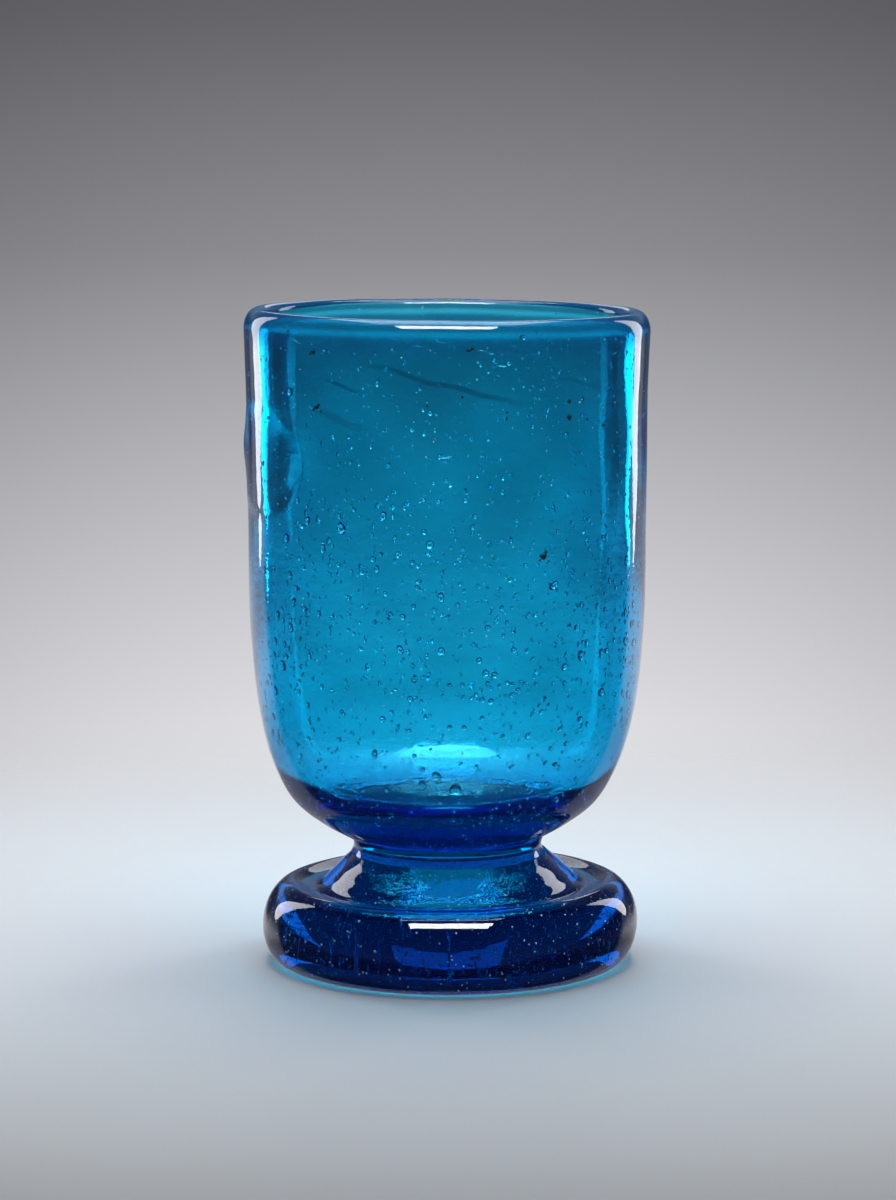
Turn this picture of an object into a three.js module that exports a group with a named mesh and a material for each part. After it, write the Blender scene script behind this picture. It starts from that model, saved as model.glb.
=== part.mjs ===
// Wine goblet in thick bubbled blue glass, sizes in millimetres, standing on z = 0 with +Z up.
// Three glass pieces that were joined hot: a foot, a short neck and a bowl.
import * as THREE from 'three';

const jointGap = 0.3;
const segmentsAround = 60;

// Foot, a thick disc with a full round edge and a top that sweeps up to the neck
const footRadius = 40.3;
const footRestRadius = 34.9;
const footEdgeHeight = 9;
const footShoulderRadius = 33.2;
const footShoulderHeight = 17.6;
const footTopHeight = 23.3;
const footSweep = [[29.4, 17.4], [26.1, 19.7], [22.5, 21.9], [20.9, footTopHeight]];
const footHollowRadius = 19;
const footHollowDepth = 0.3;
const footOffsetX = 0.6;
const footTopTilt = 0.012;

// Neck, the narrow waist between foot and bowl
const neckBottomHeight = footTopHeight + jointGap;
const neckWaist = [[20.55, neckBottomHeight], [20.2, 24.7], [20.15, 25.4], [20.45, 26.4], [20.6, 27]];
const neckOffsetX = 0.1;

// Bowl, nearly straight walls over a round bottom; the fire-polished lip is rounder outside than inside
const bowlBottomHeight = 27.3;
const lipOuterHeight = 135.4;
const lipOuterRadius = 43;
const lipInnerHeight = 138;
const lipInnerRadius = 38.55;
const lipCrestRadius = 40.3;
const bowlOutside = [
  [20.8, bowlBottomHeight], [26.8, 30.6], [32.8, 35.55], [37.05, 43.5], [40, 54.5],
  [41.9, 72], [42.33, 97], [42.55, 122], [lipOuterRadius, lipOuterHeight],
];
const bowlInside = [
  [lipInnerRadius, lipInnerHeight], [38.5, 135.4], [38.3, 122], [38.15, 97], [37.9, 74], [36.6, 57.5],
  [34.6, 47.5], [31.4, 40.8], [27, 37.4], [20, 35.9], [10, 35.4], [0, 35.3],
];
const rimHeight = 139.65;

// The hand work left the bowl slightly off true
const rimTilt = 0.0085;
const rimTiltFrom = 90;
const bowlLeanX = -0.45;
const bowlLeanTop = 62;
const blisterHeight = 110.5;
const blisterRise = 0.9;
const blisterSpread = 5;

// Points along one smooth run through the given radius and height pairs
function smoothRun(pairs, divisions) {
  const points = pairs.map(([radius, height]) => new THREE.Vector3(radius, height, 0));
  const curve = new THREE.CatmullRomCurve3(points, false, 'centripetal');
  return curve.getPoints(divisions).map((point) => new THREE.Vector2(point.x, point.y));
}

// Points along an ellipse about (cx, cy), with the angles start and end counted in quarter turns
function ellipseArc(cx, cy, halfWidth, halfHeight, start, end, divisions) {
  const quarter = Math.PI / 2;
  const clockwise = end < start;
  const arc = new THREE.EllipseCurve(cx, cy, halfWidth, halfHeight, start * quarter, end * quarter, clockwise);
  return arc.getPoints(divisions);
}

// Turns a profile about the upright axis; the profile runs from the axis below, round the outside, back to it
function turned(profile) {
  const geometry = new THREE.LatheGeometry(profile, segmentsAround);
  geometry.rotateX(Math.PI / 2);
  return geometry;
}

// Moves every point of a geometry by a rule that changes the point it is given
function reshape(geometry, rule) {
  const place = geometry.getAttribute('position');
  const point = new THREE.Vector3();
  for (let i = 0; i < place.count; i += 1) {
    point.fromBufferAttribute(place, i);
    rule(point);
    place.setXYZ(i, point.x, point.y, point.z);
  }
  geometry.computeVertexNormals();
  return geometry;
}

// The foot stands on a flat ring; inside the ring its underside is a shallow dish
function footGeometry() {
  const lowerEdgeWidth = footRadius - footRestRadius;
  const upperEdgeWidth = footRadius - footShoulderRadius;
  const upperEdgeHeight = footShoulderHeight - footEdgeHeight;
  const dish = smoothRun(
    [[0, footHollowDepth], [footHollowRadius * 0.5, footHollowDepth * 0.75], [footHollowRadius, 0]], 6);
  const lowerEdge = ellipseArc(footRestRadius, footEdgeHeight, lowerEdgeWidth, footEdgeHeight, -1, 0, 7);
  const upperEdge = ellipseArc(
    footShoulderRadius, footEdgeHeight, upperEdgeWidth, upperEdgeHeight, 0, 1, 7).slice(1);
  const sweep = smoothRun([[footShoulderRadius, footShoulderHeight], ...footSweep], 9).slice(1);
  const axisEnd = new THREE.Vector2(0, footTopHeight);
  const geometry = turned([...dish, ...lowerEdge, ...upperEdge, ...sweep, axisEnd]);
  return reshape(geometry, (point) => {
    const rise = point.z / footTopHeight;
    const shoulder = 4 * rise * (1 - rise);
    point.z += footTopTilt * point.x * shoulder;
    point.x += footOffsetX;
  });
}

// The neck is a short solid waist
function neckGeometry() {
  const waist = smoothRun(neckWaist, 8);
  const top = neckWaist[neckWaist.length - 1][1];
  const geometry = turned([new THREE.Vector2(0, neckBottomHeight), ...waist, new THREE.Vector2(0, top)]);
  return reshape(geometry, (point) => {
    point.x += neckOffsetX;
  });
}

// The bowl is open at the top, with a thick floor and a rounded lip
function bowlGeometry() {
  const outside = smoothRun(bowlOutside, 22);
  const inside = smoothRun(bowlInside, 20);
  const outerWidth = lipOuterRadius - lipCrestRadius;
  const innerWidth = lipCrestRadius - lipInnerRadius;
  const outerLip = ellipseArc(
    lipCrestRadius, lipOuterHeight, outerWidth, rimHeight - lipOuterHeight, 0, 1, 6).slice(1);
  const innerLip = ellipseArc(
    lipCrestRadius, lipInnerHeight, innerWidth, rimHeight - lipInnerHeight, 1, 2, 4).slice(1, -1);
  const start = new THREE.Vector2(0, bowlBottomHeight);
  const geometry = turned([start, ...outside, ...outerLip, ...innerLip, ...inside]);
  return reshape(geometry, (point) => {
    const outward = Math.hypot(point.x, point.y);
    if (outward > lipCrestRadius) {
      const across = Math.atan2(point.y, -point.x) * outward;
      const off = Math.hypot(across, point.z - blisterHeight) / blisterSpread;
      const push = 1 + (blisterRise * Math.exp(-off * off)) / outward;
      point.x *= push;
      point.y *= push;
    }
    const up = THREE.MathUtils.smoothstep(point.z, rimTiltFrom, rimHeight);
    const low = 1 - THREE.MathUtils.smoothstep(point.z, bowlBottomHeight, bowlLeanTop);
    point.z -= rimTilt * point.x * up;
    point.x += bowlLeanX * low;
  });
}

// One piece of the goblet; the same glass looks darker where it is thicker, so the colours differ
function glassPiece(name, geometry, colour) {
  const material = new THREE.MeshStandardMaterial({ color: colour, roughness: 0.06, metalness: 0 });
  const mesh = new THREE.Mesh(geometry, material);
  mesh.name = name;
  return mesh;
}

const goblet = new THREE.Group();
goblet.name = 'wine_goblet';
goblet.add(glassPiece('foot', footGeometry(), 0x0b3f8f));
goblet.add(glassPiece('neck', neckGeometry(), 0x0c3c90));
goblet.add(glassPiece('bowl', bowlGeometry(), 0x1290c4));

export default goblet;
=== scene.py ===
import math
import random
import bmesh
import bpy
import numpy as np
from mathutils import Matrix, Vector


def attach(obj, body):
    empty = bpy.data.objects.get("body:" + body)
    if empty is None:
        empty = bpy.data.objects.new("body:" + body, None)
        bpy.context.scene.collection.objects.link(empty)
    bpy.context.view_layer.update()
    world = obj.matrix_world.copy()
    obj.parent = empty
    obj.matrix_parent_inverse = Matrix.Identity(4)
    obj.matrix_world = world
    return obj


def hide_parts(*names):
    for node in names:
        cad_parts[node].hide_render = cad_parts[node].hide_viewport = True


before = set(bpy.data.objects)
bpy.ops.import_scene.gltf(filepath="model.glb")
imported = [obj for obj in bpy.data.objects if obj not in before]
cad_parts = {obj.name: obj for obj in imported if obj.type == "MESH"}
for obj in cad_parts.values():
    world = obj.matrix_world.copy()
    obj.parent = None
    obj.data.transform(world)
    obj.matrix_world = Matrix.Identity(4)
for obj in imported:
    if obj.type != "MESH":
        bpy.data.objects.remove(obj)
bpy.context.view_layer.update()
mm = 0.001


class Wire:  # one output of a node tree; sums and products of wires add the nodes they need
    def __init__(self, tree, socket=None):
        self.tree = tree
        self.socket = socket

    def node(self, kind, settings=None, sockets=None):  # any node, its settings first, then its inputs
        made = self.tree.nodes.new(kind)
        for key, value in (settings or {}).items():
            if key == "stops":
                fillRamp(made.color_ramp, value)
            else:
                setattr(made, key, value)
        for key, value in (sockets or {}).items():
            slot = made.inputs[key]
            if isinstance(value, Wire):
                self.tree.links.new(value.socket, slot)
            else:
                slot.default_value = value
        return Wire(self.tree, next((s for s in made.outputs if s.enabled), None))

    def out(self, name):  # another output of the same node
        return Wire(self.tree, self.socket.node.outputs[name])

    def maths(self, operation, *values):
        return self.node("ShaderNodeMath", {"operation": operation}, dict(enumerate(values)))

    def __add__(self, other):
        return self.maths("ADD", self, other)

    def __radd__(self, other):
        return self.maths("ADD", other, self)

    def __sub__(self, other):
        return self.maths("SUBTRACT", self, other)

    def __rsub__(self, other):
        return self.maths("SUBTRACT", other, self)

    def __mul__(self, other):
        return self.maths("MULTIPLY", self, other)

    def __rmul__(self, other):
        return self.maths("MULTIPLY", other, self)

    def __truediv__(self, other):
        return self.maths("DIVIDE", self, other)

    def __rtruediv__(self, other):
        return self.maths("DIVIDE", other, self)

    def rise(self, low, high):  # 0 below low, 1 above high, smooth between
        settings = {"interpolation_type": "SMOOTHSTEP"}
        return self.node("ShaderNodeMapRange", settings, {"Value": self, "From Min": low, "From Max": high})

    def objectPlace(self):
        return self.node("ShaderNodeTexCoord").out("Object")

    def noise(self, place, scale, detail, roughness=0.5):
        return self.node("ShaderNodeTexNoise", None, {
            "Vector": place, "Scale": scale, "Detail": detail, "Roughness": roughness})

    def blend(self, factor, first, second):  # a colour from the first at 0 to the second at 1
        return self.node("ShaderNodeMix", {"data_type": "RGBA"}, {
            0: factor, 6: withAlpha(first), 7: withAlpha(second)})

    def shaderBlend(self, factor, first, second):
        return self.node("ShaderNodeMixShader", None, {0: factor, 1: first, 2: second})


def withAlpha(colour):  # a wire stays as it is
    return colour if isinstance(colour, Wire) else (*colour, 1)


def fillRamp(ramp, stops):
    while len(ramp.elements) < len(stops):
        ramp.elements.new(0.5)
    for element, (place, colour) in zip(ramp.elements, stops):
        element.position = place
        element.color = withAlpha(colour)


def newLook(name):  # an empty material and the wire that its nodes start from
    look = bpy.data.materials.new(name)
    look.use_nodes = True
    look.node_tree.nodes.clear()
    return look, Wire(look.node_tree)


def linked(name, data):  # a new object in the scene
    made = bpy.data.objects.new(name, data)
    bpy.context.scene.collection.objects.link(made)
    return made


# the camera stands a little above the rim and looks down at the goblet
print("camera")
viewpoint = {
    "distance": 0.8224,  # metres in front of the goblet
    "height": 0.1877,
    "sideways": 0.0002,
    "pitch": 7.62,  # degrees down
    "focalPixels": 3892,
    "pictureHeight": 1200,
    "sensorHeight": 36,
    "clip": (0.05, 50),
}


def makeCamera():
    eye = bpy.data.cameras.new("eye")
    eye.sensor_fit = "VERTICAL"
    eye.sensor_height = viewpoint["sensorHeight"]
    eye.lens = viewpoint["focalPixels"] * eye.sensor_height / viewpoint["pictureHeight"]
    eye.clip_start, eye.clip_end = viewpoint["clip"]
    stand = linked("eye", eye)
    stand.location = (viewpoint["sideways"], -viewpoint["distance"], viewpoint["height"])
    stand.rotation_euler = (math.radians(90 - viewpoint["pitch"]), 0, 0)
    bpy.context.scene.camera = stand


makeCamera()


# turned forms: profiles are radius and height pairs in millimetres
def knotGap(start, end):  # how far apart two points count along a smooth curve
    return max(np.linalg.norm(end - start) ** 0.5, 1e-4)


def slopeAt(before, here, after, gapBefore, gapAfter):
    whole = (after - before) / (gapBefore + gapAfter)
    return (here - before) / gapBefore - whole + (after - here) / gapAfter


def smoothRun(pairs, count, fineness=24):  # evenly stepped points on a smooth curve through the pairs
    given = [np.array(p, float) for p in pairs]
    ends = [2 * given[0] - given[1]] + given + [2 * given[-1] - given[-2]]
    fine = []
    for before, here, there, after in zip(ends, ends[1:], ends[2:], ends[3:]):
        first, middle, last = knotGap(before, here), knotGap(here, there), knotGap(there, after)
        leave = slopeAt(before, here, there, first, middle) * middle
        reach = slopeAt(here, there, after, middle, last) * middle
        for t in np.linspace(0, 1, fineness, endpoint=False):
            cubic = (2 * here - 2 * there + leave + reach) * t ** 3
            square = (3 * there - 3 * here - 2 * leave - reach) * t ** 2
            fine.append(cubic + square + leave * t + here)
    fine.append(given[-1])
    return evenly(np.array(fine), count)


def walkedAlong(points):  # the way from the first point to each
    return np.concatenate([[0], np.cumsum(np.linalg.norm(np.diff(points, axis=0), axis=1))])


def evenly(points, count):  # the same line with count points at equal steps
    walked = walkedAlong(points)
    steps = np.linspace(0, walked[-1], count)
    return np.column_stack([np.interp(steps, walked, points[:, k]) for k in (0, 1)])


def arcRun(centre, halfWidth, halfHeight, start, end, count):  # part of an ellipse, angles in quarter turns
    turn = np.linspace(start, end, count) * math.pi / 2
    return np.column_stack([centre[0] + halfWidth * np.cos(turn), centre[1] + halfHeight * np.sin(turn)])


def joined(*runs):  # runs end to end, dropping points that repeat
    line = np.vstack(runs)
    keep = np.concatenate([[True], np.linalg.norm(np.diff(line, axis=0), axis=1) > 1e-6])
    return line[keep]


def smooth(value, low, high):  # 0 below low, 1 above high, smooth between, for arrays
    t = np.clip((value - low) / (high - low), 0, 1)
    return t * t * (3 - 2 * t)


# slow waves that the hand work left in every surface
handMarks = {
    "waves": 14,  # how many are added up
    "longest": 4,  # times the shortest wave
    "starts": 6.28,  # they start anywhere in a turn
    "calm": (0.3, 4),  # mm from a joint or a flat, where they are gone and where they are full
}


def handwork(seed, size, turns, shortest):
    # size in mm, the most waves around, and the shortest wave up the side in mm
    dice = random.Random(seed)
    waves = []
    for _ in range(handMarks["waves"]):
        around = dice.randint(1, turns)
        rate = dice.choice((-1, 1)) * 2 * math.pi / dice.uniform(shortest, shortest * handMarks["longest"])
        waves.append((around, rate, dice.uniform(0, handMarks["starts"])))

    def push(angle, walked):
        total = sum(np.cos(around * angle + rate * walked + start) for around, rate, start in waves)
        return size * total / math.sqrt(len(waves) / 2)
    return push


def turnedPiece(name, profile, values, bend, joints, flats=()):
    # the profile runs from the axis below, round the outside and back to the axis
    around = values["around"]
    radius, height = profile[:, 0], profile[:, 1]
    along = np.gradient(profile, axis=0)
    along /= np.linalg.norm(along, axis=1)[:, None]
    still = np.ones(len(profile))
    for level in [*joints, *flats]:
        still *= smooth(np.abs(height - level), *handMarks["calm"])
    angle = np.arange(around) * 2 * math.pi / around
    push = handwork(*values["handwork"])(angle[None, :], walkedAlong(profile)[:, None]) * still[:, None]
    out = radius[:, None] + along[:, 1][:, None] * push
    z = height[:, None] - along[:, 0][:, None] * push
    ring = np.stack([out * np.sin(angle), -out * np.cos(angle), z], axis=-1)[1:-1].reshape(-1, 3)
    points = np.vstack([[0, 0, height[0]], ring, [0, 0, height[-1]]])
    mesh = bpy.data.meshes.new(name)
    mesh.from_pydata((bend(points) * mm).tolist(), [], ringFaces(len(profile) - 2, around))
    mesh.update()
    mesh.shade_smooth()
    markJoints(mesh, joints)
    return linked(name, mesh)


def ringFaces(rows, around):  # one point below, rows of rings, one point above
    pairs = [(a, (a + 1) % around) for a in range(around)]
    faces = [(0, 1 + b, 1 + a) for a, b in pairs]
    for row in range(rows - 1):
        low, high = 1 + row * around, 1 + (row + 1) * around
        faces += [(low + a, low + b, high + b, high + a) for a, b in pairs]
    top = 1 + (rows - 1) * around
    return faces + [(top + a, top + b, top + around) for a, b in pairs]


# where two pieces were fused hot, heights in mm
joint = {
    "gap": 0.02,  # between fused pieces, too small to see
    "footTop": 23.45,
    "bowlBottom": 27.15,
    "within": 0.12,  # a flat face this near to a joint belongs to it
    "flatness": 0.97,
}


def markJoints(mesh, heights):  # faces where two pieces fused get 1 in the attribute "fused"
    centres = np.zeros(len(mesh.polygons) * 3)
    normals = np.zeros(len(mesh.polygons) * 3)
    mesh.polygons.foreach_get("center", centres)
    mesh.polygons.foreach_get("normal", normals)
    level = centres.reshape(-1, 3)[:, 2] / mm
    flat = np.abs(normals.reshape(-1, 3)[:, 2]) > joint["flatness"]
    fused = np.zeros(len(level))
    for height in heights:
        fused[(np.abs(level - height) < joint["within"]) & flat] = 1
    mesh.attributes.new("fused", "FLOAT", "FACE")
    mesh.attributes["fused"].data.foreach_set("value", fused)
    sides = {}
    for face in mesh.polygons:
        for key in face.edge_keys:
            sides.setdefault(key, set()).add(fused[face.index])
    sharp = [len(sides[edge.key]) > 1 for edge in mesh.edges]
    mesh.attributes.new("sharp_edge", "BOOLEAN", "EDGE")
    mesh.attributes["sharp_edge"].data.foreach_set("value", sharp)


# the foot, a thick disc with a round edge
print("foot")
foot = {
    "radius": 40.3,
    "restRadius": 35.5,
    "edgeHeight": 8.4,
    "shoulderRadius": 33.6,
    "shoulderHeight": 17.45,
    "sweep": [[28.9, 16.4], [25.7, 18.95], [23, 21.55], [20.8, joint["footTop"]]],
    "hollowRadius": 9,
    "hollowDepth": 0.25,
    "offset": 0.6,
    "tilt": 0.012,
    "handwork": (5, 0.04, 12, 14),  # seed, size, most waves around, shortest wave
    "around": 240,
    "steps": {"hollow": 18, "rest": 4, "edge": 22, "sweep": 24},
}


def footProfile():
    steps = foot["steps"]
    edge = (foot["radius"] - foot["restRadius"], foot["edgeHeight"])
    crown = (foot["radius"] - foot["shoulderRadius"], foot["shoulderHeight"] - foot["edgeHeight"])
    hollow = smoothRun([[0, foot["hollowDepth"]], [foot["hollowRadius"] * 0.5, foot["hollowDepth"] * 0.75],
                        [foot["hollowRadius"], 0]], steps["hollow"])
    rest = evenly(np.array([[foot["hollowRadius"], 0], [foot["restRadius"], 0]]), steps["rest"])
    low = arcRun((foot["restRadius"], foot["edgeHeight"]), *edge, -1, 0, steps["edge"])
    high = arcRun((foot["shoulderRadius"], foot["edgeHeight"]), *crown, 0, 1, steps["edge"])
    sweep = smoothRun([[foot["shoulderRadius"], foot["shoulderHeight"]], *foot["sweep"]], steps["sweep"])
    return joined(hollow, rest, low, high, sweep, [[0, joint["footTop"]]])


def footBend(points):
    rise = points[:, 2] / joint["footTop"]
    points = points.copy()
    points[:, 2] += foot["tilt"] * points[:, 0] * 4 * rise * (1 - rise)
    points[:, 0] += foot["offset"]
    return points


footGlass = turnedPiece("foot_glass", footProfile(), foot, footBend, [joint["footTop"]], [0])
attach(footGlass, "root")
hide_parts("foot")

# the neck, a short waist
print("neck")
neck = {
    "waist": [[20.7, joint["footTop"] + joint["gap"]], [20.3, 24.4], [20.15, 25.3], [20.4, 26.3],
              [20.7, joint["bowlBottom"] - joint["gap"]]],
    "offset": 0.1,
    "handwork": (6, 0.03, 9, 10),
    "around": 240,
    "steps": 20,
}
neckEnds = [neck["waist"][0][1], neck["waist"][-1][1]]


def neckProfile():
    return joined([[0, neckEnds[0]]], smoothRun(neck["waist"], neck["steps"]), [[0, neckEnds[1]]])


def neckBend(points):
    points = points.copy()
    points[:, 0] += neck["offset"]
    return points


neckGlass = turnedPiece("neck_glass", neckProfile(), neck, neckBend, neckEnds)
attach(neckGlass, "root")
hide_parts("neck")

# the bowl, nearly straight walls over a round bottom
print("bowl")
bowl = {
    "outside": [[20.85, joint["bowlBottom"]], [26.8, 30.6], [32.8, 35.55], [37.05, 43.5], [40, 54.5],
                [41.9, 72], [42.33, 97], [42.55, 122], [43, 135.4]],
    "inside": [[38.55, 138], [38.5, 135.4], [38.3, 122], [38.15, 97], [37.9, 74], [36.6, 57.5],
               [34.6, 47.5], [31.4, 40.8], [27, 37.4], [20, 35.9], [10, 35.4], [0, 35.3]],
    "rimHeight": 139.65,
    "crestRadius": 40.3,
    "rimTilt": 0.0085,
    "rimTiltFrom": 90,
    "leanX": -0.45,  # the round bottom sits a little to the left
    "leanTop": 62,
    "blister": {"height": 110.5, "rise": 0.6, "spread": 5},
    # a flat raised patch on the left, its middle, its half sizes and where its edge begins
    "swelling": {"azimuth": -72, "height": 109, "around": 21.5, "upright": 11, "rise": 0.13, "edge": 0.9},
    "outerFrom": 40.5,  # blister and swelling push only what lies farther out
    "handwork": (7, 0.03, 10, 22),
    "around": 256,
    "steps": {"outside": 96, "outerLip": 16, "innerLip": 12, "inside": 92},
}


def bowlProfile():
    steps, crest, top = bowl["steps"], bowl["crestRadius"], bowl["rimHeight"]
    (outerRadius, outerHeight), (innerRadius, innerHeight) = bowl["outside"][-1], bowl["inside"][0]
    outside = smoothRun(bowl["outside"], steps["outside"])
    outerLip = arcRun((crest, outerHeight), outerRadius - crest, top - outerHeight, 0, 1, steps["outerLip"])
    innerLip = arcRun((crest, innerHeight), crest - innerRadius, top - innerHeight, 1, 2, steps["innerLip"])
    inside = smoothRun(bowl["inside"], steps["inside"])
    return joined([[0, joint["bowlBottom"]]], outside, outerLip, innerLip, inside)


def swollen(points, outward):  # how far blister and swelling push each point out
    bump, patch = bowl["blister"], bowl["swelling"]
    fromLeft = np.arctan2(points[:, 1], -points[:, 0]) * outward
    off = np.hypot(fromLeft, points[:, 2] - bump["height"]) / bump["spread"]
    fromPatch = (np.arctan2(points[:, 0], -points[:, 1]) - math.radians(patch["azimuth"])) * outward
    edge = np.hypot(fromPatch / patch["around"], (points[:, 2] - patch["height"]) / patch["upright"])
    raised = bump["rise"] * np.exp(-off ** 2) + patch["rise"] * (1 - smooth(edge, patch["edge"], 1))
    return np.where(outward > bowl["outerFrom"], raised, 0)


def bowlBend(points):
    points = points.copy()
    outward = np.hypot(points[:, 0], points[:, 1])
    points[:, :2] *= (1 + swollen(points, outward) / np.maximum(outward, 1))[:, None]
    high = smooth(points[:, 2], bowl["rimTiltFrom"], bowl["rimHeight"])
    points[:, 2] -= bowl["rimTilt"] * points[:, 0] * high
    points[:, 0] += bowl["leanX"] * (1 - smooth(points[:, 2], joint["bowlBottom"], bowl["leanTop"]))
    return points


bowlGlass = turnedPiece("bowl_glass", bowlProfile(), bowl, bowlBend, [joint["bowlBottom"]])
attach(bowlGlass, "root")
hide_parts("bowl")

# one blue glass for all three; its colour lies in its depth
print("glass")
glass = {
    "ior": 1.5,
    # loss is the red, green and blue that go in a millimetre, shadow the tint that a shadow takes,
    # haze the milky share of the surface
    "bowl": {"loss": (0.68, 0.092, 0.029), "shadow": (0.93, 0.57, 0.48),
             "haze": 0.035, "hazeColour": (0.02, 0.2, 0.45)},
    "foot": {"loss": (0.33, 0.05, 0.0228), "shadow": (0.8, 0.45, 0.4),
             "haze": 0.12, "hazeColour": (0.01, 0.05, 0.26)},
    "waveScale": (90, 90, 170),  # waves in a metre, closer together up the side than around
    "waveNoise": (1, 4, 0.6),  # scale, detail and roughness, as in spots, strayNoise and grain
    "waveStrength": 0.12,
    "waveDepth": 0.0003,
}
haze = {  # the finest seeds and the wear scatter a little light, and low on the wall a paler milk is a painted reflection of the floor; heights in metres
    "lip": 0.3,
    "lipFrom": (0.131, 0.1365),
    "low": 0.14,  # a band low on the wall, its start, middle and end: partly milky haze, its pale colour a painted reflection of the bright floor
    "hazeAndReflectionBand": (0.039, 0.047, 0.058),
    "paintedReflectionColour": (0.12, 0.4, 0.62),
    "spots": (160, 5, 0.7),
    "least": 0.6,
    "more": 0.8,
    "roughness": 0.5,
}
cords = {  # darker threads of glass in the outer wall
    # azimuth in degrees and height in mm of both ends, thickness and strength
    "placed": [((-31, 132.2), (25, 122.2), 0.75, 0.9), ((-38, 127.8), (-23, 125), 0.55, 0.85),
               ((-43, 122), (-20, 117), 1.1, 0.5), ((24, 129), (52, 124), 0.5, 0.4)],
    "colour": (0.22, 0.3, 0.36),
    "wall": (0.0402, 0.0408),  # metres from the axis where the outer face begins
    "stray": 1.2,  # mm off the straight line
    "strayNoise": (90, 3),
    "fade": (0.4, 0.25),  # parts of the length that fade at the start and at the end
    "side": (0.3, 1.2),  # thicknesses from the middle where the thread is full and where it is gone
}


def cordMask(w, place):  # 1 on the cords of the outer wall, fading to 0 at their ends and sides
    parts = w.node("ShaderNodeSeparateXYZ", None, {0: place})
    x, y = parts.out("X"), parts.out("Y")
    azimuth = w.maths("ARCTAN2", x, 0 - y) * (180 / math.pi)
    outer = w.maths("SQRT", x * x + y * y).rise(*cords["wall"])
    stray = w.noise(place, *cords["strayNoise"]) * (2 * cords["stray"]) - cords["stray"]
    height = parts.out("Z") / mm + stray
    startFade, endFade = cords["fade"]
    near, far = cords["side"]
    mask = 0
    for (start, high), (end, low), thickness, strength in cords["placed"]:
        reach = end - start
        line = (azimuth - start) * ((low - high) / reach) + high
        away = w.maths("ABSOLUTE", height - line)
        begins = azimuth.rise(start, start + startFade * reach)
        ends = 1 - azimuth.rise(end - endFade * reach, end)
        thread = (1 - away.rise(thickness * near, thickness * far)) * begins * ends * strength
        mask = w.maths("MAXIMUM", mask, thread)
    return mask * outer


def hazed(w, place, body, blue):  # the body with its milky share over it; low on the wall the milk's paler colour is a painted reflection
    height = w.node("ShaderNodeSeparateXYZ", None, {0: place}).out("Z")
    start, middle, end = haze["hazeAndReflectionBand"]
    high = height.rise(*haze["lipFrom"])
    # the low band: a little more milk, with a paler colour there that is a painted reflection of the bright
    # floor
    low = height.rise(start, middle) * (1 - height.rise(middle, end))
    share = blue["haze"] + high * (haze["lip"] - blue["haze"]) + low * (haze["low"] - blue["haze"])
    spots = haze["least"] + haze["more"] * w.noise(place, *haze["spots"])
    milk = w.node("ShaderNodeBsdfPrincipled", None, {
        "Base Color": w.blend(low, blue["hazeColour"], haze["paintedReflectionColour"]),
        "Roughness": haze["roughness"], "Specular IOR Level": 0})
    return w.shaderBlend(share * spots, body, milk)


def litThrough(w, body, shadow=(1, 1, 1)):  # shadow rays pass the body and take its tint
    passing = w.node("ShaderNodeBsdfTransparent", None, {"Color": withAlpha(shadow)})
    return w.shaderBlend(w.node("ShaderNodeLightPath").out("Is Shadow Ray"), body, passing)


def blueGlass(name, blue):
    look, w = newLook(name)
    place = w.objectPlace()
    drawn = w.node("ShaderNodeMapping", None, {"Vector": place, "Scale": glass["waveScale"]})
    ripple = w.node("ShaderNodeBump", None, {
        "Strength": glass["waveStrength"], "Distance": glass["waveDepth"],
        "Height": w.noise(drawn, *glass["waveNoise"])})
    body = w.node("ShaderNodeBsdfPrincipled", None, {
        "Base Color": w.blend(cordMask(w, place), (1, 1, 1), cords["colour"]), "Roughness": 0,
        "IOR": glass["ior"], "Transmission Weight": 1, "Normal": ripple})
    body = hazed(w, place, body, blue)
    fused = w.node("ShaderNodeAttribute", {"attribute_name": "fused"}).out("Fac")
    body = w.shaderBlend(fused, body, w.node("ShaderNodeBsdfTransparent"))
    most = max(blue["loss"])
    tint = [1 - part / most for part in blue["loss"]]
    depth = w.node("ShaderNodeVolumeAbsorption", None, {"Color": withAlpha(tint), "Density": most / mm})
    surface = litThrough(w, body, blue["shadow"])
    w.node("ShaderNodeOutputMaterial", None, {"Surface": surface, "Volume": depth})
    return look


bowlLook = blueGlass("bowl_blue", glass["bowl"])
footLook = blueGlass("foot_blue", glass["foot"])
for piece, look in ((bowlGlass, bowlLook), (footGlass, footLook), (neckGlass, footLook)):
    piece.data.materials.append(look)

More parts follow.
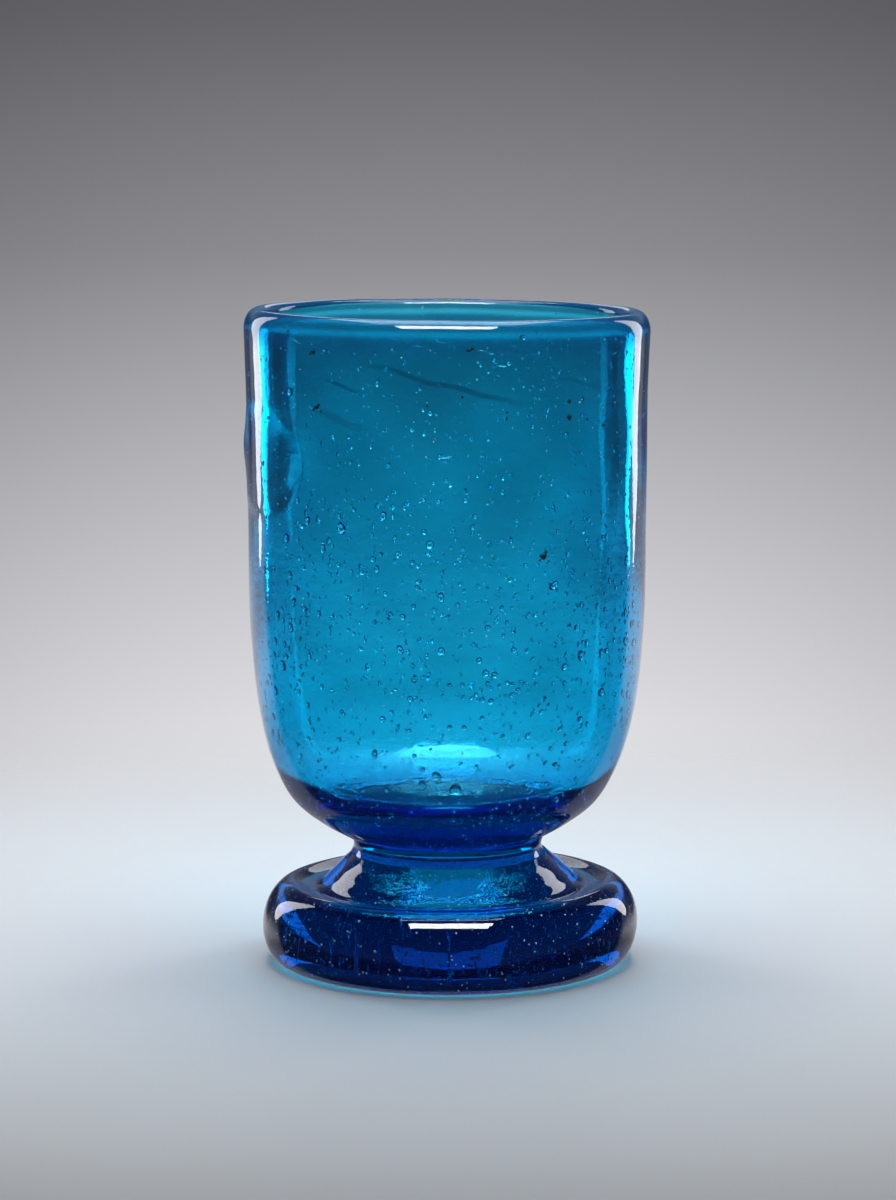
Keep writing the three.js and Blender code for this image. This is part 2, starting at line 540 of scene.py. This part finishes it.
# seeds, the air bubbles that the glass was blown with, each a closed skin facing its own air
print("seeds")
bubble = {  # sizes in mm, tilts in radians
    "detail": 3,  # roundness of the placed ones
    "grown": 1.25,  # the placed ones look smaller through the wall than they are
    "placedTilt": 0.3,
    "tilt": 0.5,
    "cover": (1.5, 0.25),  # the least glass over one: radii, and mm more
    "deepest": 99,
    "apart": 0.08,
    "near": 1.5,  # mm of height over which the wall's radius is read
    "lumpTurn": 6,  # how differently the lumps of crumbs are turned, and how close they are
    "lumpRate": 3.1,
}
bowlSeeds = {
    # the ones that catch the eye: degrees from the front to the right, height, size and upright stretch
    "placed": [
        (-31.3, 97.1, 0.75, 1.4), (-37.7, 92.6, 0.5, 1.6), (-27.2, 101, 0.4, 1), (-52.8, 93.9, 0.6, 1.4),
        (-51.2, 86.3, 0.45, 1.7), (-48.5, 83.8, 0.5, 1), (-45.9, 92.2, 0.35, 1), (-47.6, 93.8, 0.4, 1),
        (-11.9, 101.8, 0.4, 1), (-6.4, 97.1, 0.45, 1.1), (-3.8, 107, 0.35, 1), (-9.8, 117.7, 0.4, 1),
        (-3.4, 117.6, 0.35, 1), (-9.8, 90.8, 0.4, 1), (-8.5, 85.6, 0.45, 1), (-1.7, 83.7, 0.55, 1.6),
        (-9.5, 81.7, 0.45, 1), (-12.6, 79.6, 0.5, 1), (2.9, 82.2, 0.4, 1), (-45.1, 79.8, 0.5, 1),
        (-57.9, 77.4, 0.5, 1.8), (-18.8, 92.3, 0.35, 1), (-28.9, 82.9, 0.4, 1), (11.6, 77.4, 0.5, 1),
        (19.4, 72.6, 0.5, 1), (11.2, 68.1, 0.55, 1.1), (4.4, 65.7, 0.4, 1), (17.7, 65.9, 0.4, 1),
        (10.2, 62.5, 0.45, 1), (10.4, 58.7, 0.4, 1), (42.3, 70.2, 0.65, 1.5), (50.9, 70.1, 0.55, 1.5),
        (52.4, 61.8, 0.75, 1), (40.3, 76.2, 0.55, 1.1), (29.1, 59.3, 0.45, 1.1), (36.5, 64.7, 0.35, 1.8),
        (0.8, 56.8, 0.45, 1), (0.4, 55.8, 0.35, 1), (3.1, 43.5, 0.95, 1), (39.7, 51.9, 0.45, 1),
        (36.3, 55.2, 0.4, 1.1), (68.9, 78.6, 0.5, 2), (57.2, 72.4, 0.4, 1), (73.3, 55.9, 0.5, 1)],
    "depth": 1.6,  # under the outer face of the wall
    # how many, smallest and largest radius, roundness, and at which heights, each with its share
    "groups": [
        {"count": 130, "size": (0.5, 0.8), "detail": 3,
         "at": [(44, 1), (60, 1.6), (98, 1), (108, 0.15), (134, 0.05)]},
        {"count": 1250, "size": (0.28, 0.5), "detail": 2,
         "at": [(36, 1), (60, 1.8), (98, 1.4), (110, 0.35), (134, 0.25)]},
    ],
    "stretch": (1, 1.7),
    "seed": 21,
}
bowlSpecks = {
    "groups": [
        {"count": 2200, "size": (0.13, 0.25), "detail": 2, "at": [(29, 1.4), (60, 1), (134, 1), (138, 0.9)]},
    ],
    "stretch": (1, 1.6),
    "seed": 24,
}
footSeeds = {
    "groups": [
        {"count": 30, "size": (0.25, 0.45), "detail": 3, "at": [(1, 1), (17, 1), (22, 0.5)]},
        {"count": 1700, "size": (0.11, 0.22), "detail": 2, "at": [(1, 1), (17, 1), (22, 0.4)]},
    ],
    "stretch": (1, 2.6),
    "seed": 22,
}
neckSeeds = {
    "groups": [{"count": 30, "size": (0.08, 0.2), "detail": 2, "at": [(24.2, 1), (26.6, 1)]}],
    "stretch": (1, 2),
    "seed": 23,
}


def roundBall(detail):  # a unit ball of triangles that face outward
    shape = bmesh.new()
    bmesh.ops.create_icosphere(shape, subdivisions=detail, radius=1)
    points = np.array([v.co[:] for v in shape.verts])
    faces = np.array([[v.index for v in f.verts] for f in shape.faces])
    shape.free()
    return points, faces


def depthInside(profile, radius, height):  # mm from the surface inward, negative outside
    start, end = profile[:-1], profile[1:]
    point = np.array([radius, height])
    edge = end - start
    part = np.clip(np.sum((point - start) * edge, axis=1) / np.sum(edge * edge, axis=1), 0, 1)
    away = np.min(np.linalg.norm(start + edge * part[:, None] - point, axis=1))
    spans = (start[:, 1] > height) != (end[:, 1] > height)
    rise = np.where(spans, end[:, 1] - start[:, 1], 1)
    crossing = start[:, 0] + (height - start[:, 1]) * edge[:, 0] / rise
    return away if np.sum(spans & (crossing > radius)) % 2 else -away


def heightFrom(dice, shares):  # a height picked so that each stretch between the given ones gets its share
    heights, parts = zip(*shares)
    while True:
        height = dice.uniform(heights[0], heights[-1])
        if dice.random() * max(parts) < np.interp(height, heights, parts):
            return height


def underWall(profile, height, depth):  # the radius that lies that deep under the outer wall
    return max(r for r, z in profile if abs(z - height) < bubble["near"]) - depth


def scatter(values, profile):  # bubbles as (azimuth, radius, height, size, upright stretch, tilt, detail)
    dice = random.Random(values["seed"])
    found = []
    for azimuth, height, size, stretch in values.get("placed", ()):
        radius = underWall(profile, height, values["depth"])
        tilt = dice.uniform(-bubble["placedTilt"], bubble["placedTilt"])
        found.append((math.radians(azimuth), radius, height, size * bubble["grown"], stretch, tilt,
                      bubble["detail"]))
    widest = max(profile[:, 0])
    radii, more = bubble["cover"]
    for group in values["groups"]:
        wanted = len(found) + group["count"]
        while len(found) < wanted:
            height = heightFrom(dice, group["at"])
            radius = widest * math.sqrt(dice.random())
            low, high = group["size"]
            size = low + (high - low) * dice.random() ** 2
            stretch = dice.uniform(*values["stretch"])
            least, most = group.get("depths", (size * radii + more, bubble["deepest"]))
            if not least < depthInside(profile, radius, height) < most:
                continue
            azimuth = dice.uniform(-math.pi, math.pi)
            tilt = dice.gauss(0, bubble["tilt"])
            found.append((azimuth, radius, height, size, stretch, tilt, group["detail"]))
    return apart(found)


def apart(bubbles):  # leaves out the later one of any two that would touch
    kept, centres, reach = [], np.zeros((0, 3)), np.zeros(0)
    for found in bubbles:
        azimuth, radius, height, size, stretch = found[:5]
        centre = np.array([radius * math.sin(azimuth), -radius * math.cos(azimuth), height])
        room = size * stretch
        if kept and np.min(np.linalg.norm(centres - centre, axis=1) - reach) < room + bubble["apart"]:
            continue
        kept.append(found)
        centres = np.vstack([centres, centre])
        reach = np.append(reach, room)
    return kept


def bubbleCloud(name, bubbles, bend, look, inward=True, lumps=0):
    balls = {detail: roundBall(detail) for detail in {b[6] for b in bubbles}}
    dice = random.Random(name)
    upright = np.array([0, 0, 1])
    allPoints, allFaces, total = [], [], 0
    for azimuth, radius, height, size, stretch, tilt, detail in bubbles:
        points, faces = balls[detail]
        around = np.array([math.cos(azimuth), math.sin(azimuth), 0])
        outward = np.array([math.sin(azimuth), -math.cos(azimuth), 0])
        long = math.cos(tilt) * upright + math.sin(tilt) * around
        short = math.cos(tilt) * around - math.sin(tilt) * upright
        shape = points * [1, 1, stretch]
        if lumps:
            turn = dice.uniform(0, bubble["lumpTurn"])
            waves = np.sin(points * bubble["lumpRate"] + turn).sum(axis=1)
            shape = shape * (1 + lumps * waves / 2)[:, None]
        grown = size * (shape[:, :1] * short + shape[:, 1:2] * outward + shape[:, 2:] * long)
        allPoints.append(outward * radius + upright * height + grown)
        allFaces.append(faces + total)
        total += len(points)
    faces = np.vstack(allFaces)
    if inward:
        faces = faces[:, ::-1]
    mesh = bpy.data.meshes.new(name)
    mesh.from_pydata((bend(np.vstack(allPoints)) * mm).tolist(), [], faces.tolist())
    mesh.update()
    mesh.shade_smooth()
    mesh.materials.append(look)
    cloud = linked(name, mesh)
    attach(cloud, "root")


def airLook():
    look, w = newLook("air_in_glass")
    body = w.node("ShaderNodeBsdfPrincipled", None, {
        "Base Color": (1, 1, 1, 1), "Roughness": 0, "IOR": glass["ior"], "Transmission Weight": 1})
    w.node("ShaderNodeOutputMaterial", None, {"Surface": litThrough(w, body)})
    return look


air = airLook()
for name, values, profile, bend in (("bowl_seeds", bowlSeeds, bowlProfile(), bowlBend),
                                    ("bowl_specks", bowlSpecks, bowlProfile(), bowlBend),
                                    ("foot_seeds", footSeeds, footProfile(), footBend),
                                    ("neck_seeds", neckSeeds, neckProfile(), neckBend)):
    bubbleCloud(name, scatter(values, profile), bend, air)


def grainyLook(name, values):  # a solid colour that changes between two from grain to grain
    look, w = newLook(name)
    grain = w.noise(w.objectPlace(), *values["grain"]).rise(*values["grainRise"])
    body = w.node("ShaderNodeBsdfPrincipled", None, {
        "Base Color": w.blend(grain, *values["colours"]), "Roughness": values["roughness"]})
    w.node("ShaderNodeOutputMaterial", None, {"Surface": body})
    return look


# glints, the finest seeds close under the surface, drawn as solid pale balls whose white is a painted
# highlight
print("glints")
glint = {
    # painted highlight: the pale colours stand for light that the finest seeds catch
    "colours": ((0.45, 0.75, 0.9), (0.85, 0.96, 1)),
    "grain": (400, 2),
    "grainRise": (0.4, 0.6),
    "roughness": 0.3,
}
bowlGlints = {
    "groups": [
        {"count": 640, "size": (0.12, 0.21), "detail": 2, "depths": (0.32, 0.7),
         "at": [(29, 3.6), (36, 3.2), (42, 0.9), (90, 0.4), (110, 0.9), (134, 1), (138, 1)]},
    ],
    "stretch": (1, 1.5),
    "seed": 31,
}
footGlints = {
    "groups": [
        {"count": 640, "size": (0.11, 0.19), "detail": 2, "depths": (0.34, 0.8),
         "at": [(1.5, 1), (17, 1.4), (23, 1)]},
    ],
    "stretch": (1, 1.8),
    "seed": 32,
}
# the glints' look, a painted highlight
paintedGlintLook = grainyLook("painted_glint", glint)
bubbleCloud("bowl_glints", scatter(bowlGlints, bowlProfile()), bowlBend, paintedGlintLook, inward=False)
bubbleCloud("foot_glints", scatter(footGlints, footProfile()), footBend, paintedGlintLook, inward=False)

# stones, dark crumbs that didn't melt, and streaks, long thin bubbles that the blowing drew out
print("stones and streaks")
stones = {
    # azimuth, height, size and upright stretch
    "placed": [
        (-40.2, 132.6, 0.5, 1), (-41.3, 132.3, 0.3, 1), (6.1, 134, 0.5, 0.8), (7, 134.2, 0.3, 1),
        (-39.6, 121.4, 0.5, 0.8), (-38.7, 121.9, 0.35, 1), (-40.6, 120.9, 0.3, 1), (-38, 120.6, 0.25, 1),
        (36.5, 123.1, 0.45, 1), (36.6, 119.8, 0.5, 1.2), (41.6, 123.4, 0.3, 1.3), (43.2, 119, 0.3, 1),
        (28.1, 91.5, 0.7, 0.9), (29.2, 92.4, 0.35, 1), (27.1, 90.7, 0.25, 1), (4.2, 124.4, 0.25, 1),
        (50.1, 117.6, 0.3, 1), (-5.5, 122.6, 0.25, 1), (17, 121.2, 0.2, 1)],
    "depth": 1.5,
    "lumps": 0.35,
    "colours": ((0.012, 0.014, 0.018), (0.05, 0.045, 0.04)),
    "grain": (2500, 3),
    "grainRise": (0.45, 0.7),
    "roughness": 0.6,
}
streaks = {
    # azimuth, height, thickness, length over thickness, tilt from upright in degrees
    "placed": [
        (21.4, 136.3, 0.5, 1.6, 84), (12.1, 133.2, 0.16, 4.5, 96), (15, 130.7, 0.2, 6, 94),
        (9.5, 133.8, 0.07, 16, 97), (5, 136.4, 0.06, 18, 95), (-1.5, 135.4, 0.05, 20, 92),
        (-8, 134.6, 0.06, 15, 97), (-14, 135.8, 0.05, 14, 95), (18.5, 134.7, 0.06, 12, 96),
        (-0.3, 112.2, 0.2, 8, 84), (-0.5, 111.3, 0.12, 6, 96), (54, 132.2, 0.12, 10, 68),
        (58.5, 133.1, 0.12, 9, 80), (-46.4, 134.6, 0.22, 8, 112), (-50.5, 136.2, 0.25, 3, 60),
        (-34.3, 105.8, 0.06, 14, 2), (-27, 118, 0.05, 16, 98), (31, 128, 0.05, 14, 86),
        (-22, 126.5, 0.05, 12, 103), (25, 115.5, 0.05, 12, 93), (66.5, 134.5, 0.1, 8, 75)],
    "depth": 1.3,
}


def placedOn(values, profile):  # the given ones as bubbles
    made = []
    for azimuth, height, size, stretch, *tilt in values["placed"]:
        radius = underWall(profile, height, values["depth"])
        lean = math.radians(tilt[0]) if tilt else 0
        made.append((math.radians(azimuth), radius, height, size, stretch, lean, bubble["detail"]))
    return made


bubbleCloud("bowl_stones", placedOn(stones, bowlProfile()), bowlBend, grainyLook("dark_stone", stones),
            inward=False, lumps=stones["lumps"])
bubbleCloud("bowl_streaks", placedOn(streaks, bowlProfile()), bowlBend, air)

# a pale floor that fades into the backdrop behind
print("floor and backdrop")
ground = {  # metres
    "radius": 0.7,
    "corners": 96,
    "drop": 0.0001,
    "colour": (0.775, 0.81, 0.86),
    "roughness": 0.65,
    "shine": 0.2,
    "fade": (0.15, 0.32),  # how far from the goblet it gives way to the backdrop
    "dark": (0.03, 0.25),  # painted shade: its colour gets darker toward the viewer, standing for light that falls off
    "paintedShadeBy": 0.44,
}


def floorLook():
    look, w = newLook("pale_floor")
    place = w.objectPlace()
    away = w.node("ShaderNodeVectorMath", {"operation": "LENGTH"}, {0: place}).out("Value")
    # painted shade: the floor's colour darkens toward the viewer, where the light falls off
    shadeTowardViewer = (w.node("ShaderNodeSeparateXYZ", None, {0: place}).out("Y") * -1).rise(*ground["dark"])
    paintedShadeColour = [part * (1 - ground["paintedShadeBy"]) for part in ground["colour"]]
    face = w.node("ShaderNodeBsdfPrincipled", None, {
        "Base Color": w.blend(shadeTowardViewer, ground["colour"], paintedShadeColour),
        "Roughness": ground["roughness"], "Specular IOR Level": ground["shine"]})
    path = w.node("ShaderNodeLightPath")
    mirrored = path.out("Is Glossy Ray") * (1 - path.out("Is Transmission Ray"))
    gone = w.maths("MAXIMUM", away.rise(*ground["fade"]), mirrored)
    surface = w.shaderBlend(gone, face, w.node("ShaderNodeBsdfTransparent"))
    w.node("ShaderNodeOutputMaterial", None, {"Surface": surface})
    return look


def makeFloor():
    count, radius = ground["corners"], ground["radius"]
    turns = [2 * math.pi * i / count for i in range(count)]
    rim = [(radius * math.cos(turn), radius * math.sin(turn), -ground["drop"]) for turn in turns]
    mesh = bpy.data.meshes.new("floor")
    faces = [(0, 1 + i, 1 + (i + 1) % count) for i in range(count)]
    mesh.from_pydata([(0, 0, -ground["drop"])] + rim, [], faces)
    mesh.materials.append(floorLook())
    linked("floor", mesh)


makeFloor()

# the backdrop and what the glass sees of the room: turns are degrees away from straight behind the goblet,
# heights are degrees above the horizon
room = {
    # the backdrop's gradient, screen greys by height: palest where the floor goes into it
    "greys": [(-16.5, 155), (-11.5, 229), (-9.5, 224), (-2.5, 141), (1, 102), (5, 90), (12, 150), (30, 165)],
    "lowest": -20,
    "bluer": 4,
    "corner": {"turn": 7, "by": 0.18},  # the backdrop is darker toward the sides of the picture
    # dark flags at both sides draw the edges of the glass
    "flag": {"near": (10, 13.5), "far": (28, 34), "bottom": (-8, -5), "top": (5, 10), "by": 0.75},
    "dusk": {"light": 1.32, "height": (-9.2, -5.5), "by": 0.42},  # glass sees the floor behind brighter
    "sky": {"height": (8, 25), "mirroredBy": 0.85},
    "front": {"turn": (60, 100), "by": 0.9},  # little light comes from the viewer's side, except the sky's
    "besides": {"turn": (46, 54), "by": 0.93},  # nothing at the sides that the surface could mirror
    # a bright window above that only the inner faces mirror; sideways and upward parts of its direction
    "window": {"side": (0.36, 0.44), "height": (0.48, 0.56), "light": 95},
    "fill": 0.23,  # soft light from all round that only the floor feels
}


def fromScreen(value):  # a screen value of 0 to 255 as linear light
    part = value / 255
    return part / 12.92 if part <= 0.04045 else ((part + 0.055) / 1.055) ** 2.4


def upTo(degrees):  # a height in degrees as the upward part of a direction
    return math.sin(math.radians(degrees))


def climb(up, heights):  # 0 below the first height, 1 above the second
    return up.rise(upTo(heights[0]), upTo(heights[1]))


def backdropGrey(w, up):
    low = upTo(room["lowest"])
    stops = []
    for degrees, grey in room["greys"]:
        colour = [fromScreen(v) for v in (grey, grey, grey + room["bluer"])]
        stops.append(((upTo(degrees) - low) / (1 - low), colour))
    return w.node("ShaderNodeValToRGB", {"stops": stops}, {0: (up - low) / (1 - low)})


def makeRoom():
    world = bpy.data.worlds.new("studio")
    bpy.context.scene.world = world
    world.use_nodes = True
    world.node_tree.nodes.clear()
    w = Wire(world.node_tree)
    parts = w.node("ShaderNodeSeparateXYZ", None, {0: w.node("ShaderNodeTexCoord").out("Generated")})
    up = parts.out("Z")
    turn = w.maths("ABSOLUTE", w.maths("ARCTAN2", parts.out("X"), parts.out("Y"))) * (180 / math.pi)

    # which rays ask
    path = w.node("ShaderNodeLightPath")
    seen, bent = path.out("Is Camera Ray"), path.out("Is Transmission Ray")
    mirrored = path.out("Is Glossy Ray") * (1 - bent)
    rest = 1 - w.maths("MAXIMUM", seen, w.maths("MAXIMUM", mirrored, bent))
    viaFloor = w.maths("MINIMUM", path.out("Diffuse Depth"), 1)  # light that the floor gathers
    inside = mirrored * w.maths("MINIMUM", path.out("Transmission Depth"), 1)
    floorFill = w.maths("MAXIMUM", rest, viaFloor)

    # what stands in the room
    corner, flag, dusk, sky = room["corner"], room["flag"], room["dusk"], room["sky"]
    front, besides, window = room["front"], room["besides"], room["window"]
    aside = turn / corner["turn"]
    cornered = 1 - corner["by"] * w.maths("MINIMUM", aside * aside, 1)
    flagHeight = climb(up, flag["bottom"]) * (1 - climb(up, flag["top"]))
    flagged = 1 - turn.rise(*flag["near"]) * (1 - turn.rise(*flag["far"])) * flag["by"] * flagHeight
    skyward = climb(up, sky["height"])
    duskLight = dusk["light"] - dusk["by"] * climb(up, dusk["height"])
    frontLight = w.maths("MAXIMUM", 1 - front["by"] * turn.rise(*front["turn"]), skyward)
    sideLight = (1 - besides["by"] * turn.rise(*besides["turn"])) * (1 - sky["mirroredBy"] * skyward)
    middle = 1 - w.maths("ABSOLUTE", parts.out("X")).rise(*window["side"])
    windowLight = middle * up.rise(*window["height"]) * window["light"]

    shown = mirrored * sideLight + bent * duskLight * frontLight + inside * windowLight
    level = seen * cornered + shown * (1 - viaFloor) * flagged + floorFill * room["fill"]
    colour = w.blend(floorFill, backdropGrey(w, up), (1, 1, 1))
    light = w.node("ShaderNodeBackground", None, {"Color": colour, "Strength": level})
    w.node("ShaderNodeOutputWorld", None, {"Surface": light})


makeRoom()

# lamps: every panel faces its target
print("lamps")
# the tall strips at both sides draw the long bright lines on the walls
strip = {"elevation": 0, "distance": 0.62, "size": (0.16, 0.5), "power": 0.82, "target": (0, 0, 0.26),
         "shape": "ELLIPSE"}
lamps = {
    # azimuth from straight behind and elevation in degrees, the rest in metres and watts
    "overhead": {"azimuth": 0, "elevation": 90, "distance": 0.4, "size": (0.26, 0.26), "power": 1.05,
                 "target": (0, 0.06, 0)},
    "behind": {"azimuth": 0, "elevation": 30.2, "distance": 0.8, "size": (0.3, 0.27), "power": 0.42,
               "target": (0, 0, 0.03)},
    "crown": {"azimuth": 180, "elevation": 60, "distance": 0.6, "size": (0.45, 0.19), "power": 7.5,
              "target": (0, 0, 0.1), "mirroredOnly": True},  # for the small bright reflections
    "strip_left": {"azimuth": -46.5, **strip},
    "strip_right": {"azimuth": 46.5, **strip},
}


def panel(name, values):
    lamp = bpy.data.lights.new(name, "AREA")
    lamp.shape = values.get("shape", "RECTANGLE")
    lamp.size, lamp.size_y = values["size"]
    lamp.energy = values["power"]
    stand = linked(name, lamp)
    turn, tilt = math.radians(values["azimuth"]), math.radians(values["elevation"])
    reach = Vector((math.sin(turn) * math.cos(tilt), math.cos(turn) * math.cos(tilt), math.sin(tilt)))
    stand.location = Vector(values["target"]) + reach * values["distance"]
    stand.rotation_euler = (-reach).to_track_quat("-Z", "Y").to_euler()
    stand.visible_camera = False
    stand.visible_diffuse = not values.get("mirroredOnly", False)


for name, values in lamps.items():
    panel(name, values)

scene = bpy.context.scene
scene.view_settings.view_transform = "Standard"
scene.cycles.max_bounces = 24
scene.cycles.transmission_bounces = 24
scene.cycles.glossy_bounces = 12
scene.cycles.transparent_max_bounces = 24
